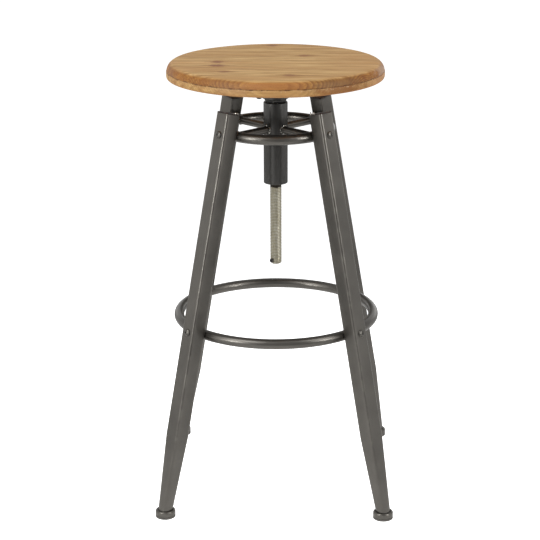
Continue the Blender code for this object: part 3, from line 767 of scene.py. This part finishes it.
def hexagon_section(flats, height):
    """As many points round a hexagon as round a circle, so that one can run into the other."""
    points = []
    for step in range(BOLT_STEPS):
        angle = math.tau * step / BOLT_STEPS
        within = (angle % (math.pi / 3)) - math.pi / 6
        radius = flats / 2 / math.cos(within)
        points.append((radius * math.cos(angle), radius * math.sin(angle), height))
    return points


def screw_loops(rows, base, socket):
    """Loops down the outline of a screw's rows, and into the hexagon socket of its head."""
    loops = [circle_section(radius, height) for radius, height in rows]
    return loops + [hexagon_section(flats, base + rise) for flats, rise in socket]


def leg_azimuth(index):
    return math.radians(45.0 + 90.0 * index)


def foot_matrix(index):
    azimuth = leg_azimuth(index)
    spot = Vector((math.cos(azimuth), math.sin(azimuth), 0)) * FOOT_CIRCLE_RADIUS
    return Matrix.Translation(spot) @ Matrix.Rotation(azimuth, 4, "Z")


def leg_matrix(index):
    lift = Matrix.Translation((0, 0, SOCKET_HEIGHT))
    return foot_matrix(index) @ lift @ Matrix.Rotation(-LEG_LEAN, 4, "Y")


def ring_radius(height):
    """Centre-line radius of a ring at this height that lies against the legs' inner faces."""
    rise = height - SOCKET_HEIGHT
    return FOOT_CIRCLE_RADIUS - (RING_INWARD + rise * math.sin(LEG_LEAN)) / math.cos(LEG_LEAN)


def ring_station(height):
    """How far up a leg a ring at this height meets it."""
    return RING_INWARD * math.tan(LEG_LEAN) + (height - SOCKET_HEIGHT) / math.cos(LEG_LEAN)


def seat_profile():
    """Half of the board's outline: a soft arris, the sloping edge, its groove and a rounded foot."""
    slope_start = Vector((SEAT_RADIUS - SEAT_SLOPE_INSET, SEAT_HIGH))
    slope_end = Vector((SEAT_RADIUS - SEAT_QUIRK_DEPTH, SEAT_RIM))
    outward = (slope_end - slope_start).orthogonal().normalized()
    profile = [(0.0, SEAT_HIGH), (SEAT_RADIUS * 0.5, SEAT_HIGH)]
    profile += [(slope_start.x - inset, SEAT_HIGH - drop) for inset, drop in ARRIS_POINTS]
    for step in range(1, SEAT_SLOPE_STEPS + 1):
        share = step / SEAT_SLOPE_STEPS
        bulge = SEAT_SLOPE_BULGE * 4 * share * (1 - share)
        profile.append(tuple(slope_start.lerp(slope_end, share) + outward * bulge))
    profile += [(SEAT_RADIUS - inset, SEAT_RIM - drop) for inset, drop in GROOVE_POINTS]
    centre = (SEAT_RADIUS - SEAT_LOWER_ROUND, SEAT_LOW + SEAT_LOWER_ROUND)
    profile += arc(centre, (SEAT_LOWER_ROUND, SEAT_LOWER_ROUND), 0.0, -math.pi / 2, 8)
    return profile + [(SEAT_RADIUS * 0.5, SEAT_LOW), (0.0, SEAT_LOW)]


def wear_groove(shape):
    """Lets the groove stray up and down, and fills it here and there."""
    for vert in shape.verts:
        out = Vector((vert.co.x, vert.co.y))
        if out.length < SEAT_RADIUS - GROOVE_ZONE_DEPTH or abs(vert.co.z - SEAT_RIM) > GROOVE_ZONE_HALF:
            continue
        spot = Vector((out.x, out.y, 0.0)).normalized()
        wander = noise.noise(spot * 14.0) + 0.5 * noise.noise(spot * 45.0)
        sunk = vert.co.z < SEAT_RIM - GROOVE_TOP and out.length < SEAT_RADIUS - SEAT_QUIRK_DEPTH
        vert.co.z += GROOVE_WANDER * wander
        if sunk:
            worn = 0.5 + 1.4 * noise.noise(spot * 26.0 + Vector((5, 0, 0)))
            vert.co += spot * (GROOVE_FILL * (1.0 - min(max(worn, 0.0), 1.0)))


def build_seat_board(look):
    shape = turned(seat_profile(), SEAT_STEPS)
    wear_groove(shape)
    add_piece("board_top", shape, look, "seat", ("seat_board",), SEAT_SHARP_ANGLE)


def plate_screw_shape(low, high):
    """A domed screw with a flange, point up, from its head's lowest point to its tip."""
    flange = PLATE_LOW - SEAM_GAP
    rows = [(SCREW_TIP, high), (SCREW_SHANK, high - SCREW_SHANK), (SCREW_SHANK, flange)]
    rows += [(radius, flange - drop) for radius, drop in SCREW_FLANGE]
    rows += arc((0.0, low + SCREW_DOME[1]), SCREW_DOME, 0.0, -SCREW_DOME_SWEEP, 5)
    return skin(screw_loops(rows, low, SCREW_SOCKET))


def build_under_plate(look, black):
    """The square plate under the board, and the domed screws through its corners."""
    half = PLATE_SIDE / 2
    stages = (
        (half - PLATE_EASE, PLATE_CORNER, PLATE_LOW),
        (half, PLATE_CORNER, PLATE_LOW + PLATE_EASE),
        (half, PLATE_CORNER, PLATE_HIGH - PLATE_EASE),
        (half - PLATE_EASE, PLATE_CORNER, PLATE_HIGH),
    )
    shape = square_skin(stages)
    turn = Matrix.Rotation(PLATE_TURN, 4, "Z")
    add_piece("under_plate", shape, look, "seat", ("seat_plate",), PLATE_SHARP_ANGLE, turn)
    for number in range(1, PLATE_SCREWS + 1):
        low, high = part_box(f"seat_screw_{number}")
        spot = (low + high) / 2
        shape = plate_screw_shape(low.z, high.z)
        place = Matrix.Translation((spot.x, spot.y, 0.0))
        name = f"plate_screw_{number}"
        add_piece(name, shape, black, "seat", (f"seat_screw_{number}",), place=place)


def build_collar(look, rubber):
    """The boss under the plate, drawn in to a neck at its foot, and the buffer below it."""
    outer = COLLAR_NECK_RADIUS + COLLAR_HOLLOW
    hollow = (COLLAR_HOLLOW, COLLAR_HOLLOW)
    profile = [(SPINDLE_BORE, COLLAR_LOW), (COLLAR_NECK_RADIUS - COLLAR_EASE, COLLAR_LOW)]
    profile += arc((outer, COLLAR_LOW + COLLAR_EASE), hollow, math.pi, math.pi / 2, 12)
    profile += [(outer, COLLAR_HIGH), (SPINDLE_BORE, COLLAR_HIGH)]
    shape = turned(profile, TURNED_STEPS, True)
    add_piece("collar_tube", shape, look, "seat", ("seat_collar",))
    low, high = (corner.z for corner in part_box("buffer_ring"))
    half = (high - low) / 2
    bulge = half * BUFFER_ROUND
    profile = [(SPINDLE_BORE, high), (SPINDLE_BORE, low)]
    profile += arc((BUFFER_RADIUS - bulge, (low + high) / 2), (bulge, half), -math.pi / 2, math.pi / 2, 8)
    shape = turned(profile, TURNED_STEPS, True)
    add_piece("buffer_washer", shape, rubber, "lift", ("buffer_ring",))


def thread_turns(start):
    """Turns of a right-hand thread from this height to above the spindle, doubled up from one turn."""
    ridge = []
    for fall, rise in THREAD_RIDGE:
        ridge.append((SPINDLE_CREST - THREAD_DEPTH * fall, start + THREAD_LEAD * rise))
    shape = turned(ridge, THREAD_STEPS, lead=THREAD_LEAD)
    turns = 1
    while start + THREAD_LEAD * turns < SPINDLE_HIGH + 2 * THREAD_LEAD:
        copy = bmesh.ops.duplicate(shape, geom=list(shape.verts) + list(shape.edges) + list(shape.faces))
        fresh = [part for part in copy["geom"] if isinstance(part, bmesh.types.BMVert)]
        bmesh.ops.translate(shape, verts=fresh, vec=(0, 0, THREAD_LEAD * turns))
        turns *= 2
    bmesh.ops.remove_doubles(shape, verts=shape.verts, dist=THREAD_MERGE)
    return shape


def spindle_shape():
    """A screw thread that fades out at both ends, cut to length, with a chamfered lower end."""
    shape = thread_turns(SPINDLE_LOW - 2 * THREAD_LEAD)
    ends = ((SPINDLE_LOW + SPINDLE_CHAMFER, -1), (SPINDLE_HIGH, 1))
    for vert in shape.verts:
        radius = math.hypot(vert.co.x, vert.co.y)
        inside = min(vert.co.z - ends[0][0], ends[1][0] - vert.co.z)
        fade = min(max((inside - THREAD_MARGIN) / THREAD_RUNOUT, 0.0), 1.0)
        wanted = SPINDLE_PLAIN + (radius - SPINDLE_PLAIN) * fade
        vert.co.x *= wanted / radius
        vert.co.y *= wanted / radius
    for height, side in ends:
        geometry = list(shape.verts) + list(shape.edges) + list(shape.faces)
        cut = {"plane_co": (0, 0, height), "plane_no": (0, 0, side), "clear_outer": True}
        bmesh.ops.bisect_plane(shape, geom=geometry, dist=MERGE_DISTANCE, **cut)
    open_edges = [edge for edge in shape.edges if edge.is_boundary]
    rims = [[e for e in open_edges if abs(e.verts[0].co.z - height) < THREAD_MERGE] for height, _ in ends]
    caps = [bmesh.ops.edgeloop_fill(shape, edges=rim)["faces"][0] for rim in rims]
    point = bmesh.ops.extrude_discrete_faces(shape, faces=[caps[0]])["faces"][0]
    shrink = (SPINDLE_CREST - SPINDLE_CHAMFER) / SPINDLE_CREST
    bmesh.ops.scale(shape, verts=point.verts, vec=(shrink, shrink, 1.0))
    bmesh.ops.translate(shape, verts=point.verts, vec=(0, 0, -SPINDLE_CHAMFER))
    return shape


def stop_screw_shape():
    """A round-headed screw along +Z, from the spindle's axis."""
    side = SPINDLE_RADIUS + SEAM_GAP
    rim = side + STOP_SCREW_RIM
    width, height = STOP_SCREW_ROUND
    rows = [*STOP_SCREW_POINT, *((radius, side + rise) for radius, rise in STOP_SCREW_HEAD)]
    rows += arc((rows[-1][0] - width, rim), STOP_SCREW_ROUND, 0.0, math.pi / 2, 5)
    return skin(screw_loops(rows, rim + height, STOP_SCREW_SOCKET))


def build_spindle(look, black):
    add_piece("screw_spindle", spindle_shape(), look, "seat", ("spindle",), SPINDLE_SHARP_ANGLE)
    place = Matrix.Translation((0, 0, SPINDLE_LOW + STOP_SCREW_FROM_END))
    place = place @ Matrix.Rotation(STOP_SCREW_AZIMUTH, 4, "Z") @ Matrix.Rotation(math.pi / 2, 4, "Y")
    add_piece("end_screw", stop_screw_shape(), black, "seat", ("stop_screw",), place=place)


def build_hub(look, brass):
    """The sleeve with eased rims, and the nut and bush that show in its ends."""
    ease = (SLEEVE_EDGE, SLEEVE_EDGE)
    side = SLEEVE_RADIUS - SLEEVE_EDGE
    eased_bore = SLEEVE_BORE + SLEEVE_BORE_EASE
    profile = [(SLEEVE_BORE, SLEEVE_HIGH - SLEEVE_BORE_EASE), (eased_bore, SLEEVE_HIGH)]
    profile += arc((side, SLEEVE_HIGH - SLEEVE_EDGE), ease, math.pi / 2, 0.0, 6)
    profile += arc((side, SLEEVE_LOW + SLEEVE_EDGE), ease, 0.0, -math.pi / 2, 6)
    profile += [(eased_bore, SLEEVE_LOW), (SLEEVE_BORE, SLEEVE_LOW + SLEEVE_BORE_EASE)]
    shape = turned(profile, SLEEVE_STEPS, True)
    add_piece("hub_tube", shape, look, "frame", ("hub_sleeve",))
    for node, name in (("spindle_nut", "thread_nut"), ("guide_bush", "top_bush")):
        low, high = (corner.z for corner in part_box(node))
        profile = [
            (SLEEVE_BORE - SEAM_GAP, low),
            (SLEEVE_BORE - SEAM_GAP, high),
            (SPINDLE_BORE + NUT_LEAD_IN, high),
            (SPINDLE_BORE, high - NUT_LEAD_IN),
            (SPINDLE_BORE, low + NUT_LEAD_IN),
            (SPINDLE_BORE + NUT_LEAD_IN, low),
        ]
        add_piece(name, turned(profile, TURNED_STEPS, True), brass, "frame", (node,))


def build_rings(look):
    for node, name, height in (
        ("upper_ring", "upper_hoop", UPPER_RING_HEIGHT),
        ("footrest_ring", "footrest_hoop", FOOTREST_HEIGHT),
    ):
        centre = (ring_radius(height), height)
        tube = arc(centre, (RING_TUBE_RADIUS, RING_TUBE_RADIUS), 0.0, math.tau, RING_SECTION_STEPS)[:-1]
        add_piece(name, turned(tube, RING_STEPS, True), look, "frame", (node,))


def weld_bead(path):
    """A rippled bead along a closed path, thickest on each ripple's front."""
    count = len(path)
    centre = sum(path, Vector()) / count
    sections = []
    for i in range(count):
        along = (path[(i + 1) % count] - path[i - 1]).normalized()
        outward = (path[i] - centre).normalized()
        across = along.cross(outward).normalized()
        outward = across.cross(along)
        ripple = (i % RIPPLE_STEPS) / RIPPLE_STEPS
        radius = BEAD_RADIUS * (0.86 + 0.28 * ripple + 0.14 * noise.noise(path[i] * 300.0))
        section = []
        for step in range(BEAD_STEPS):
            angle = math.tau * step / BEAD_STEPS
            section.append(path[i] + radius * (math.cos(angle) * outward + math.sin(angle) * across))
        sections.append(section)
    return skin(sections + [sections[0]], capped=False)


def build_arms(look, weld):
    """Tubes coped to the sleeve and to the upper ring, with a weld bead round each end."""
    ring = ring_radius(UPPER_RING_HEIGHT)

    def at_sleeve(sideways, _):
        return math.sqrt(SLEEVE_RADIUS**2 - sideways**2)

    def at_ring(sideways, upward):
        return math.sqrt(ring**2 - sideways**2) - math.sqrt(RING_TUBE_RADIUS**2 - upward**2)

    for index, leg in enumerate(LEG_NAMES):
        outward = Matrix.Translation((0, 0, UPPER_RING_HEIGHT)) @ Matrix.Rotation(leg_azimuth(index), 4, "Z")
        rows, beads = [], []
        for end, lift in ((at_sleeve, BEAD_LIFT), (at_ring, -BEAD_LIFT)):
            row, path = [], []
            for step in range(ARM_STEPS):
                angle = math.tau * step / ARM_STEPS
                sideways, upward = ARM_RADIUS * math.cos(angle), ARM_RADIUS * math.sin(angle)
                row.append(outward @ Vector((end(sideways, upward), sideways, upward)))
                wide, high = sideways * BEAD_SPREAD, upward * BEAD_SPREAD
                path.append(outward @ Vector((end(wide, high) + lift, wide, high)))
            rows.append(row)
            beads.append(path)
        tube = [[inner.lerp(outer, share) for inner, outer in zip(*rows)] for share in ARM_STATIONS]
        add_piece(f"arm_tube_{leg}", skin(tube), look, "frame", (f"hub_arm_{leg}",))
        for place, path in zip(("sleeve", "hoop"), beads):
            add_piece(f"{place}_weld_{leg}", weld_bead(path), weld, "frame")


def drops_shape(index):
    """Droplets of weld along the seam of the cap, on the inner half of one side of the leg."""
    shape = bmesh.new()
    across = (LEG_TUBE / 2 - DROP_SIZE) * (1 if index % 2 == 0 else -1)
    for drop in range(DROP_COUNT):
        uneven = noise.noise(Vector((drop * 1.7, index * 2.3, 0.7)))
        size = DROP_SIZE + DROP_UNEVEN * uneven
        place = Matrix.Translation((DROP_START - drop * DROP_PITCH, across, LEG_LENGTH + DROP_RISE))
        grow = Matrix.Diagonal((0.8, 0.8, 1.9 + 2.0 * uneven, 1.0))
        bmesh.ops.create_icosphere(shape, subdivisions=2, radius=size, matrix=place @ grow)
    return shape


def leg_shape():
    """Square tube that is drawn to a round end, with a value on its corners for the rubbed paint."""
    end_half = LEG_END_DIAMETER / 2
    stages = []
    for step in range(SWAGE_STEPS + 1):
        share = step / SWAGE_STEPS
        half = end_half + (LEG_TUBE / 2 - end_half) * share
        corner = (end_half - LEG_END_FLAT) * (1 - share) + LEG_CORNER * share
        height = SEAM_GAP / math.cos(LEG_LEAN) + SWAGE_LENGTH * share
        slant = math.tan(LEG_LEAN) * (1 - share)
        stages.append((half, corner, LEG_CROWN * share, height, slant))
    for share in LEG_STATIONS:
        height = SWAGE_LENGTH + (LEG_LENGTH - SWAGE_LENGTH) * share
        stages.append((LEG_TUBE / 2, LEG_CORNER, LEG_CROWN, height, 0.0))
    sections = []
    for half, corner, crown, height, slant in stages:
        sections.append([(x, y, height - slant * x) for x, y in crowned_square(half, corner, crown)])
    shape = skin(sections)
    rub = shape.verts.layers.float.new("corner")
    for vert in shape.verts:
        reach = abs(vert.co.x) + abs(vert.co.y) - (LEG_TUBE - LEG_CORNER)
        vert[rub] = min(max(reach / LEG_CORNER_REACH, 0.0), 1.0)
    return shape


def cap_shape():
    """A plug in the tube's end under a thin head that covers it."""
    half = LEG_TUBE / 2
    stages = [(half - inset, CAP_PLUG_CORNER, LEG_LENGTH + rise) for inset, rise in CAP_PLUG]
    stages += [(half - inset, LEG_CORNER, LEG_LENGTH + SEAM_GAP + rise) for inset, rise in CAP_HEAD]
    return square_skin(stages)


def bolt_shape():
    """A button-head bolt along +Z, with a hexagon socket and its head's seat at the origin."""
    rows = [*BOLT_ROWS, *arc((0.0, BOLT_HEAD_RIM), BOLT_DOME, 0.0, BOLT_DOME_SWEEP, 7)]
    top = rows[-1][1]
    bottom = circle_section(BOLT_SOCKET_POINT[0], top + BOLT_SOCKET_POINT[1])
    return skin(screw_loops(rows, top, BOLT_SOCKET) + [bottom])


def foot_shape():
    """A turned foot with a round shoulder and the socket that the leg stands in."""
    high = FOOT_LOW + FOOT_HEIGHT
    profile = [(0.0, SOCKET_HEIGHT), (FOOT_SOCKET - SOCKET_EASE, SOCKET_HEIGHT)]
    profile += [(FOOT_SOCKET, SOCKET_HEIGHT + SOCKET_EASE), (FOOT_SOCKET, high - SOCKET_EASE)]
    profile += [(FOOT_SOCKET + SOCKET_EASE, high)]
    shoulder = min(FOOT_SHOULDER, FOOT_RADIUS - FOOT_SOCKET - FOOT_EDGE)
    profile += arc((FOOT_RADIUS - shoulder, high - shoulder), (shoulder, shoulder), math.pi / 2, 0.0, 8)
    profile += [(FOOT_RADIUS, FOOT_LOW + FOOT_EDGE), (FOOT_RADIUS - FOOT_EDGE, FOOT_LOW), (0.0, FOOT_LOW)]
    return turned(profile, FOOT_STEPS)


def pad_shape():
    """A flat pad with rounded edges."""
    side = FOOT_RADIUS - PAD_EDGE
    edge = (PAD_EDGE, PAD_EDGE)
    profile = [(0.0, PAD_THICKNESS)]
    profile += arc((side, PAD_THICKNESS - PAD_EDGE), edge, math.pi / 2, 0.0, 4)
    profile += arc((side, PAD_EDGE), edge, 0.0, -math.pi / 2, 4)
    profile += [(0.0, 0.0)]
    return turned(profile, FOOT_STEPS)


def build_legs(looks):
    """Each leg with its cap, foot, pad, two bolts and droplets of weld."""
    stations = {
        "upper": UPPER_BOLT_STATION,
        "footrest": ring_station(FOOTREST_HEIGHT) + FOOTREST_BOLT_RISE,
    }
    outward = Matrix.Rotation(math.pi / 2, 4, "Y")
    for index, leg in enumerate(LEG_NAMES):
        along, spot = leg_matrix(index), foot_matrix(index)
        parts = [
            (f"leg_tube_{leg}", leg_shape(), along, "gunmetal", "gunmetal_paint", f"leg_{leg}"),
            (f"end_cap_{leg}", cap_shape(), along, "cap", "black_plastic", f"leg_cap_{leg}"),
            (f"turned_foot_{leg}", foot_shape(), spot, "gunmetal", "gunmetal_paint", f"foot_{leg}"),
            (f"floor_glide_{leg}", pad_shape(), spot, "pad", "grey_plastic", f"foot_pad_{leg}"),
        ]
        for ring, station in stations.items():
            seat = along @ Matrix.Translation((LEG_TUBE / 2 + SEAM_GAP, 0, station)) @ outward
            name = f"button_bolt_{ring}_{leg}"
            parts.append((name, bolt_shape(), seat, "bolt", "black_oxide", f"{ring}_bolt_{leg}"))
        for name, shape, place, look, slot, node in parts:
            add_piece(name, shape, looks[look], "frame", (node,), LEG_SHARP_ANGLE, place)
        drops = drops_shape(index)
        add_piece(f"weld_drops_{leg}", drops, looks["drops"], "frame", place=along)


def dress_hidden_solids(look):
    """The threaded inserts keep their solids, and take the blacked steel."""
    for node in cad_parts.values():
        if not node.hide_render:
            node.data.materials.clear()
            node.data.materials.append(look)


def build_floor():
    shape = bmesh.new()
    bmesh.ops.create_grid(shape, x_segments=2, y_segments=2, size=FLOOR_HALF)
    floor = as_object("studio_floor", shape, studio_floor())


def softbox(name, bearing, elevation, size, power, diffuse):
    """A rectangular light that faces the stool and that the camera doesn't see."""
    light = bpy.data.lights.new(name, "AREA")
    light.shape = "RECTANGLE"
    light.size, light.size_y = size
    light.energy = power
    box = link(name, light)
    turn = Matrix.Rotation(math.radians(bearing), 4, "Z")
    tilt = Matrix.Rotation(math.radians(90.0 - elevation), 4, "X")
    back = Matrix.Translation((0, 0, LIGHT_DISTANCE))
    box.matrix_world = Matrix.Translation(LIGHT_TARGET) @ turn @ tilt @ back
    box.visible_camera = False
    box.visible_diffuse = diffuse


def build_light():
    """Two softboxes, strips that show in the metal alone, and a room that the camera sees white."""
    room = Recipe("studio", "worlds", "Background")
    bpy.context.scene.world = room.owner
    across = room.split(room.node("ShaderNodeTexCoord").outputs["Generated"])[0]
    place = room.node("ShaderNodeMapRange", {0: across, 1: -1.0, 2: 1.0}).outputs[0]
    walls = room.ramp(place, [(stop, grey(level)) for stop, level in WALL_LIGHT])
    room.set(Color=room.mix(room.seen(), walls, grey(1.0)))
    for name, settings in LIGHTS.items():
        softbox(name, *settings)


def build_camera():
    """A long lens from the front, a little above the seat."""
    lens = bpy.data.cameras.new("photo_camera")
    lens.sensor_width = CAMERA_SENSOR
    lens.lens = CAMERA_LENS
    camera = link("photo_camera", lens)
    place = Matrix.Rotation(CAMERA_TURN, 4, "Z") @ Matrix.Translation(CAMERA_SPOT)
    tilt = Matrix.Rotation(math.pi / 2 - CAMERA_PITCH, 4, "X") @ Matrix.Rotation(CAMERA_ROLL, 4, "Z")
    camera.matrix_world = place @ Matrix.Rotation(CAMERA_YAW, 4, "Z") @ tilt
    bpy.context.scene.camera = camera
    bpy.context.scene.view_settings.view_transform = "Standard"


looks = make_looks()
build_seat_board(looks["pine"])
build_under_plate(looks["hub"], looks["black"])
build_collar(looks["hub"], looks["rubber"])
build_spindle(looks["steel"], looks["black"])
build_hub(looks["hub"], looks["brass"])
build_rings(looks["gunmetal"])
build_arms(looks["gunmetal"], looks["hub_weld"])
build_legs(looks)
dress_hidden_solids(looks["black"])
build_floor()
build_light()
build_camera()
